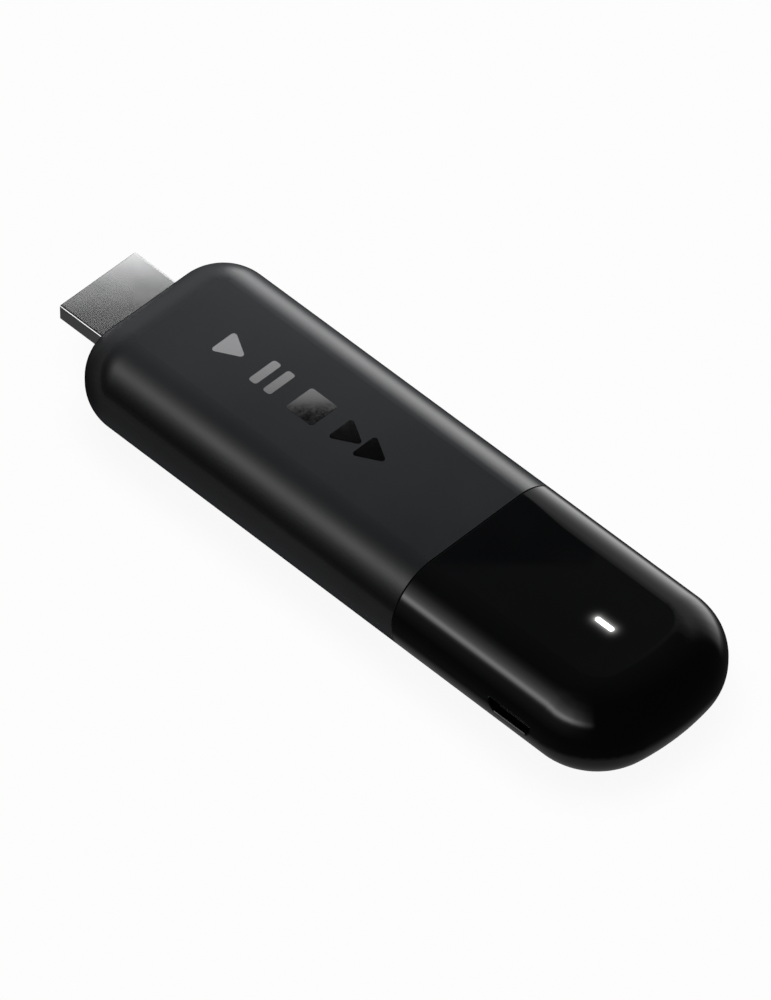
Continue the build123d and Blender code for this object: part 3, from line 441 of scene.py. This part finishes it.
def carrier_black():
    return plastic("carrier_black", (0.014, 0.014, 0.015), (0.026, 0.026, 0.028), 0.48, 0.62)


def bracket_white():
    return plastic("bracket_white", (0.60, 0.59, 0.55), (0.72, 0.71, 0.67), 0.4, 0.52)


def cable_grey():
    """Extruded lead jacket, with the braid just showing through."""
    look = new_look("cable_grey")
    braid = look.cells(0.16 * MM, (0.5, 1, 1))
    cloud = look.noise(3 * MM, 2)
    colour = look.blend(look.math("MULTIPLY", braid, cloud), (0.055, 0.055, 0.06), (0.13, 0.13, 0.14))
    rough = look.remap(cloud, 0.3, 0.7, 0.3, 0.42)
    return look.finish(look.principled(Base_Color=colour, Roughness=rough, Normal=look.bump(braid, 0.006 * MM)))


# the dot on a chip, in shares of the chip's sides: its middle from one corner, and its radius full and faded out
CHIP_DOT_PLACE = 0.12
CHIP_DOT_EDGE = (0.04, 0.05)


def chip_black():
    """Filled epoxy with glassy specks, and a moulded dot in one corner of its top."""
    look = new_look("chip_black")
    specks = look.remap(look.cells(0.09 * MM), 0.1, 0.5, 1.0, 0.0)
    cloud = look.noise(2 * MM, 3)
    unit = look.node("SeparateXYZ", {0: look.node("TexCoord").outputs["Generated"]}).outputs
    across = look.math("POWER", look.math("SUBTRACT", unit["X"], CHIP_DOT_PLACE), 2.0)
    along = look.math("POWER", look.math("SUBTRACT", unit["Y"], CHIP_DOT_PLACE), 2.0)
    dot = look.remap(look.math("SQRT", look.math("ADD", across, along)), *CHIP_DOT_EDGE, 1.0, 0.0)
    colour = look.blend(cloud, (0.012, 0.012, 0.013), (0.022, 0.022, 0.023))
    colour = look.blend(look.math("MULTIPLY", specks, 0.25), colour, (0.05, 0.05, 0.05))
    rough = look.math("SUBTRACT", look.remap(cloud, 0.3, 0.7, 0.5, 0.62), look.math("MULTIPLY", dot, 0.3))
    normal = look.bump(dot, -0.05 * MM, look.bump(specks, 0.002 * MM))
    return look.finish(look.principled(Base_Color=colour, Roughness=rough, Normal=normal))


def inductor_grey():
    """Pressed ferrite: dark, grainy and a little metallic."""
    look = new_look("inductor_grey")
    grit = look.noise(0.06 * MM, 3, 0.7)
    cloud = look.noise(1.5 * MM, 2)
    colour = look.blend(look.math("MULTIPLY", grit, cloud), (0.04, 0.04, 0.042), (0.13, 0.13, 0.14))
    rough = look.remap(grit, 0.3, 0.7, 0.45, 0.65)
    surface = look.principled(Base_Color=colour, Metallic=0.25, Roughness=rough, Normal=look.bump(grit, 0.006 * MM))
    return look.finish(surface)


def capacitor_tan():
    """Tan ceramic with tinned ends."""
    look = new_look("capacitor_tan")
    lengthways = look.node("SeparateXYZ", {0: look.node("NewGeometry").outputs["True Normal"]}).outputs["X"]
    tinned = look.remap(look.math("ABSOLUTE", lengthways), 0.8, 0.9, 0.0, 1.0)
    cloud = look.noise(0.3 * MM, 3)
    ceramic = look.blend(cloud, (0.28, 0.17, 0.09), (0.40, 0.26, 0.15))
    colour = look.blend(tinned, ceramic, (0.66, 0.66, 0.64))
    rough = look.remap(cloud, 0.3, 0.7, 0.32, 0.5)
    surface = look.principled(Base_Color=colour, Metallic=tinned, Roughness=rough, Normal=look.bump(cloud, 0.004 * MM))
    return look.finish(surface)


LENS_BLEND = 0.02 * MM          # over this height the housing turns into the lens


def led_white():
    """White housing with a yellow phosphor lens above it."""
    look = new_look("led_white")
    low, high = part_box("status_led")
    height = look.node("SeparateXYZ", {0: look.place()}).outputs["Z"]
    middle = (low.z + high.z) / 2
    lens = look.remap(height, middle, middle + LENS_BLEND, 0.0, 1.0)
    grain = look.noise(0.1 * MM, 3)
    phosphor = look.blend(grain, (0.80, 0.62, 0.12), (0.90, 0.76, 0.24))
    colour = look.blend(lens, (0.78, 0.78, 0.76), phosphor)
    surface = look.principled(
        Base_Color=colour,
        Roughness=look.remap(grain, 0.3, 0.7, 0.3, 0.45),
        Normal=look.bump(grain, 0.004 * MM),
        Emission_Color=(1.0, 0.95, 0.85),
        Emission_Strength=look.math("MULTIPLY", lens, 1.5),
    )
    return look.finish(surface)


def pad_pink():
    """Soft silicone pad, printed with the weave of its liner."""
    look = new_look("pad_pink")
    weave = look.cells(0.35 * MM, feature="SMOOTH_F1")
    cloud = look.noise(3 * MM, 3)
    colour = look.blend(cloud, (0.50, 0.26, 0.30), (0.64, 0.38, 0.42))
    rough = look.remap(cloud, 0.3, 0.7, 0.62, 0.8)
    surface = look.principled(
        Base_Color=colour, Roughness=rough, Normal=look.bump(weave, 0.01 * MM), Sheen_Weight=0.2
    )
    return look.finish(surface)


TRACK_HALF_PITCH = 0.18 * MM    # from the middle of a gap to the middle of a track
TRACK_EDGE = (0.07 * MM, 0.09 * MM)    # from the middle of a gap, where the copper starts to rise and is full


def board_green():
    """Solder mask over copper: stepped tracks and plated holes on the faces, and layered glass cloth at the edges."""
    look = new_look("board_green")
    tracks = look.cells(1.6 * MM, (1, 1, 0), output="Color")
    axes = look.node("SeparateXYZ", {0: look.place((1, 1, 0))}).outputs
    turn = look.node("SeparateXYZ", {0: tracks}).outputs[0]
    lines_x = look.math("PINGPONG", axes["X"], TRACK_HALF_PITCH)
    lines_y = look.math("PINGPONG", axes["Y"], TRACK_HALF_PITCH)
    pick = look.math("GREATER_THAN", turn, 0.5)
    ripple = look.math("ADD", look.math("MULTIPLY", lines_x, pick),
                       look.math("MULTIPLY", lines_y, look.math("SUBTRACT", 1.0, pick)))
    copper = look.remap(ripple, *TRACK_EDGE, 0.0, 1.0)
    holes = look.remap(look.cells(2.3 * MM, (1, 1, 0)), 0.10, 0.12, 1.0, 0.0)
    upright = look.node("SeparateXYZ", {0: look.node("NewGeometry").outputs["True Normal"]}).outputs["Z"]
    face = look.remap(look.math("ABSOLUTE", upright), 0.4, 0.6, 0.0, 1.0)
    mask = look.blend(copper, (0.006, 0.045, 0.020), (0.012, 0.095, 0.040))
    mask = look.blend(holes, mask, (0.78, 0.56, 0.26))
    cloth = look.blend(look.noise(0.09 * MM, 2, 0.5, (0.2, 0.2, 2)), (0.20, 0.18, 0.08), (0.34, 0.30, 0.15))
    colour = look.blend(face, cloth, mask)
    metallic = look.math("MULTIPLY", holes, face)
    rough = look.remap(look.noise(1.2 * MM, 3), 0.3, 0.7, 0.28, 0.4)
    normal = look.bump(copper, 0.012 * MM)
    surface = look.principled(Base_Color=colour, Metallic=metallic, Roughness=rough, Normal=normal, Coat_Weight=0.3)
    return look.finish(surface)


def mark_print():
    """Gloss foil of the printed symbols: dark chrome with a fine mottle."""
    look = new_look("mark_print")
    mottle = look.noise(0.4 * MM, 3)
    colour = look.blend(mottle, (0.20, 0.20, 0.205), (0.25, 0.25, 0.255))
    rough = look.remap(mottle, 0.3, 0.7, 0.06, 0.10)
    surface = look.principled(Base_Color=colour, Metallic=1.0, Roughness=rough, Normal=look.bump(mottle, 0.0001 * MM))
    return look.finish(surface)


FINISHES = [
    case_matt, case_gloss, light_white, plug_nickel, insert_black, contact_gold, socket_steel, board_green,
    chip_black, radio_lid, inductor_grey, crystal_metal, capacitor_tan, led_white, shield_tin, pad_pink,
    sink_aluminium, spacer_brass, screw_steel, carrier_black, bracket_white, antenna_copper, cable_grey,
    cable_plug_gold,
]


def dress_nodes():
    """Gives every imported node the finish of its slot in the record."""
    made = {finish.__name__: finish() for finish in FINISHES}
    for part in frame["record"]["subparts"]:
        data = frame["nodes"][part["node"]].data
        if not data.materials:
            data.materials.append(None)
        for index in range(len(data.materials)):
            data.materials[index] = made[part["material_slot"]]


# ================================================================ printed symbols
MARK_MIDDLE = 15.0 * MM         # along the stick
MARK_HEIGHT = 4.8 * MM
MARK_THICK = 0.02 * MM
MARK_SINK = 0.01 * MM           # how deep it is let into the sleeve
MARK_CORNER = 0.45 * MM
CORNER_STEPS = 6
PLAY_LENGTH = 0.9 * MARK_HEIGHT
PAUSE_BAR = 1.4 * MM


def rounded_outline(corners, radius):
    """A closed outline through the corners, each rounded with a circular arc."""
    points = []
    count = len(corners)
    for i, corner in enumerate(corners):
        here = Vector(corner)
        to_last = (Vector(corners[i - 1]) - here).normalized()
        to_next = (Vector(corners[(i + 1) % count]) - here).normalized()
        half = to_last.angle(to_next) / 2
        centre = here + (to_last + to_next).normalized() * (radius / math.sin(half))
        start = here + to_last * (radius / math.tan(half)) - centre
        end = here + to_next * (radius / math.tan(half)) - centre
        sweep = start.angle_signed(end)
        for k in range(CORNER_STEPS + 1):
            turn = -sweep * k / CORNER_STEPS
            c, s = math.cos(turn), math.sin(turn)
            points.append(centre + Vector((c * start.x - s * start.y, s * start.x + c * start.y)))
    return points


def play_shape(left):
    """A triangle that points right."""
    half = MARK_HEIGHT / 2
    return [(left, -half), (left + PLAY_LENGTH, 0.0), (left, half)]


def bar_shape(left, width):
    """An upright bar, as tall as the row."""
    half = MARK_HEIGHT / 2
    return [(left, -half), (left + width, -half), (left + width, half), (left, half)]


def printed_mark():
    """A row of plain playback symbols, play, pause, stop and forward, read from the plug towards the cap."""
    # the left side of each, from the middle of the row
    shapes = [
        play_shape(-15.0 * MM),
        bar_shape(-7.8 * MM, PAUSE_BAR),
        bar_shape(-5.2 * MM, PAUSE_BAR),
        bar_shape(-0.9 * MM, MARK_HEIGHT),
        play_shape(6.6 * MM),
        play_shape(10.9 * MM),
    ]
    top = SLEEVE_BOX[1].z
    mesh = bmesh.new()
    for corners in shapes:
        outline = rounded_outline(corners, MARK_CORNER)
        low, high = top - MARK_SINK, top + MARK_THICK
        rings = [[mesh.verts.new((MARK_MIDDLE - p.x, -p.y, z)) for p in outline] for z in (low, high)]
        mesh.faces.new(rings[0][::-1])
        mesh.faces.new(rings[1])
        for i in range(len(outline)):
            j = (i + 1) % len(outline)
            mesh.faces.new((rings[0][i], rings[0][j], rings[1][j], rings[1][i]))
    bmesh.ops.recalc_face_normals(mesh, faces=mesh.faces)
    data = bpy.data.meshes.new("printed_mark")
    mesh.to_mesh(data)
    mesh.free()
    piece = bpy.data.objects.new("printed_mark", data)
    bpy.context.scene.collection.objects.link(piece)
    data.materials.append(mark_print())
    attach(piece, "root")
    return piece


# ================================================================ studio
def softbox(look, azimuth, elevation, span, stops, strength):
    """A long softbox: its brightness follows its profile by elevation, and fades out at both ends."""
    fade_in, start, end, fade_out = span
    opening = look.remap(azimuth, fade_in, start, 0.0, 1.0, "SMOOTHSTEP")
    closing = look.remap(azimuth, end, fade_out, 1.0, 0.0, "SMOOTHSTEP")
    window = look.math("MULTIPLY", opening, closing)
    return look.math("MULTIPLY", look.math("MULTIPLY", window, look.profile(elevation, -90.0, 90.0, stops)), strength)


def studio():
    """White to the camera. To the object, a dark room with long softboxes on either side and past the plug."""
    world = bpy.data.worlds.new("studio")
    bpy.context.scene.world = world
    look = Look(world)
    axes = look.node("SeparateXYZ", {0: look.node("TexCoord").outputs["Generated"]}).outputs
    azimuth = look.math("DEGREES", look.math("ARCTAN2", axes["Y"], axes["X"]))
    elevation = look.math("DEGREES", look.math("ARCSINE", axes["Z"]))
    ground = look.remap(elevation, *GROUND_ELEVATION, GROUND_RADIANCE, 0.0, "SMOOTHSTEP")
    end = softbox(look, azimuth, elevation, END_BOX_AZIMUTH, END_BOX_PROFILE, END_BOX_STRENGTH)
    back = softbox(look, azimuth, elevation, BACK_BOX_AZIMUTH, BACK_BOX_PROFILE, BACK_BOX_STRENGTH)
    front = softbox(look, azimuth, elevation, FRONT_BOX_AZIMUTH, FRONT_BOX_PROFILE, FRONT_BOX_STRENGTH)
    light = ROOM_RADIANCE
    for part in (ground, back, front, end):
        light = look.math("ADD", light, part)
    seen = look.node("LightPath").outputs["Is Camera Ray"]
    radiance = look.math("ADD", look.math("MULTIPLY", seen, FLOOR_WHITE),
                         look.math("MULTIPLY", look.math("SUBTRACT", 1.0, seen), light))
    shader = look.node("Background", {"Color": WHITE, "Strength": radiance}).outputs[0]
    look.finish(shader, "OutputWorld")


def floor_white():
    """White, with a soft contact shadow painted in where the object covers it, and clear from below so that the
    underside can be looked at.
    """
    look = new_look("floor_white")
    # painted contact shadow: the glowing floor is darkened where little of its sky is open
    shade = look.node("AmbientOcclusion", {"Distance": FLOOR_SHADOW_REACH}, samples=16).outputs["AO"]
    white = look.remap(shade, FLOOR_COVERED, 1.0, FLOOR_SHADOW_SHARE * FLOOR_WHITE, FLOOR_WHITE, "SMOOTHSTEP")
    lit = look.node("Emission", {"Color": WHITE, "Strength": white}).outputs[0]
    clear = look.node("BsdfTransparent").outputs[0]
    behind = look.node("NewGeometry").outputs["Backfacing"]
    mixed = look.node("MixShader", {0: behind, 1: lit, 2: clear}).outputs[0]
    return look.finish(mixed)


def sheet(name, half, z, material, seen_by):
    """A flat square of the stage that only one kind of ray sees."""
    data = bpy.data.meshes.new(name)
    data.from_pydata([(-half, -half, z), (half, -half, z), (half, half, z), (-half, half, z)], [], [(0, 1, 2, 3)])
    data.materials.append(material)
    piece = bpy.data.objects.new(name, data)
    bpy.context.scene.collection.objects.link(piece)
    for kind in ("camera", "diffuse", "glossy", "transmission", "shadow", "volume_scatter"):
        setattr(piece, "visible_" + kind, kind == seen_by)
    return piece


def floor():
    """A wide floor just under the object. Only the camera sees it, so it throws no light back on the stick."""
    sheet("studio_floor", FLOOR_HALF, CAD_BOX[0].z - FLOOR_DEPTH, floor_white(), "camera")


NEARLY_NOTHING = 1e-6           # a level side shorter than this means a heading straight up or down


def facing(place, heading):
    """A frame at this place whose Z runs along the heading and whose X is level."""
    heading = Vector(heading).normalized()
    side = Vector((0, 0, 1)).cross(heading)
    side = side.normalized() if side.length > NEARLY_NOTHING else Vector((1, 0, 0))
    turn = Matrix((side, heading.cross(side), heading)).transposed().to_4x4()
    return Matrix.Translation(Vector(place)) @ turn


def only_on(light, target):
    """Lets a lamp or card light just one object."""
    receivers = bpy.data.collections.new(light.name + "_receivers")
    receivers.objects.link(target)
    light.light_linking.receiver_collection = receivers


def card_glow(name, span, radiance):
    """Lit evenly from side to side, and changing from one radiance to another over a span of its height."""
    look = new_look(name)
    up = look.node("SeparateXYZ", {0: look.place()}).outputs["Y"]
    strength = look.remap(up, *span, *radiance)
    return look.finish(look.node("Emission", {"Color": WHITE, "Strength": strength}).outputs[0])


def cards(printed):
    """Glowing cards, level from side to side, that show in the print and in the plug."""
    pieces = {"printed_mark": printed, "hdmi_shell": frame["nodes"]["hdmi_shell"]}
    for name, target, heading, distance, (width, height), span, radiance, seen_in in CARDS:
        card = sheet(name, 0.5, 0.0, card_glow(name, span, radiance), "glossy")
        place = Vector(target) + Vector(heading).normalized() * distance
        card.matrix_world = facing(place, heading) @ Matrix.Diagonal((width, height, 1.0, 1.0))
        only_on(card, pieces[seen_in])


def area_lamp(name, place, heading, size, power):
    """A rectangular lamp that shines against its heading. The camera never sees it."""
    data = bpy.data.lights.new(name, "AREA")
    data.shape = "RECTANGLE"
    data.size, data.size_y = size
    data.energy = power
    lamp = bpy.data.objects.new(name, data)
    bpy.context.scene.collection.objects.link(lamp)
    lamp.matrix_world = facing(place, heading)
    lamp.visible_camera = False
    return lamp


def lamps():
    """The lamps that only the plug mirrors, and those that only light matt surfaces."""
    plug = frame["nodes"]["hdmi_shell"]
    for name, heading, distance, size, radiance in PLUG_LAMPS:
        place = Vector(PLUG_MIDDLE) + Vector(heading).normalized() * distance
        only_on(area_lamp(name, place, heading, size, radiance * math.pi * size[0] * size[1]), plug)
    for name, place, heading, size, power in MATT_LAMPS:
        area_lamp(name, place, heading, size, power).visible_glossy = False


def camera():
    """A long lens at the photograph's viewing angle, aimed at the middle of the object."""
    data = bpy.data.cameras.new("camera")
    data.lens, data.sensor_width = CAMERA_LENS, CAMERA_SENSOR
    data.clip_start, data.clip_end = CAMERA_REACH
    piece = bpy.data.objects.new("camera", data)
    bpy.context.scene.collection.objects.link(piece)
    a, e = math.radians(CAMERA_AZIMUTH), math.radians(CAMERA_ELEVATION)
    back = Vector((math.sin(a) * math.cos(e), -math.cos(a) * math.cos(e), math.sin(e)))
    middle = (CAD_BOX[0] + CAD_BOX[1]) / 2
    piece.location = middle + back * CAMERA_DISTANCE
    piece.rotation_mode = "QUATERNION"
    piece.rotation_quaternion = back.to_track_quat("Z", "Y")
    bpy.context.scene.camera = piece


# ================================================================ assembly
dress_nodes()
mark = printed_mark()
studio()
floor()
cards(mark)
lamps()
camera()
bpy.context.scene.view_settings.view_transform = "Standard"
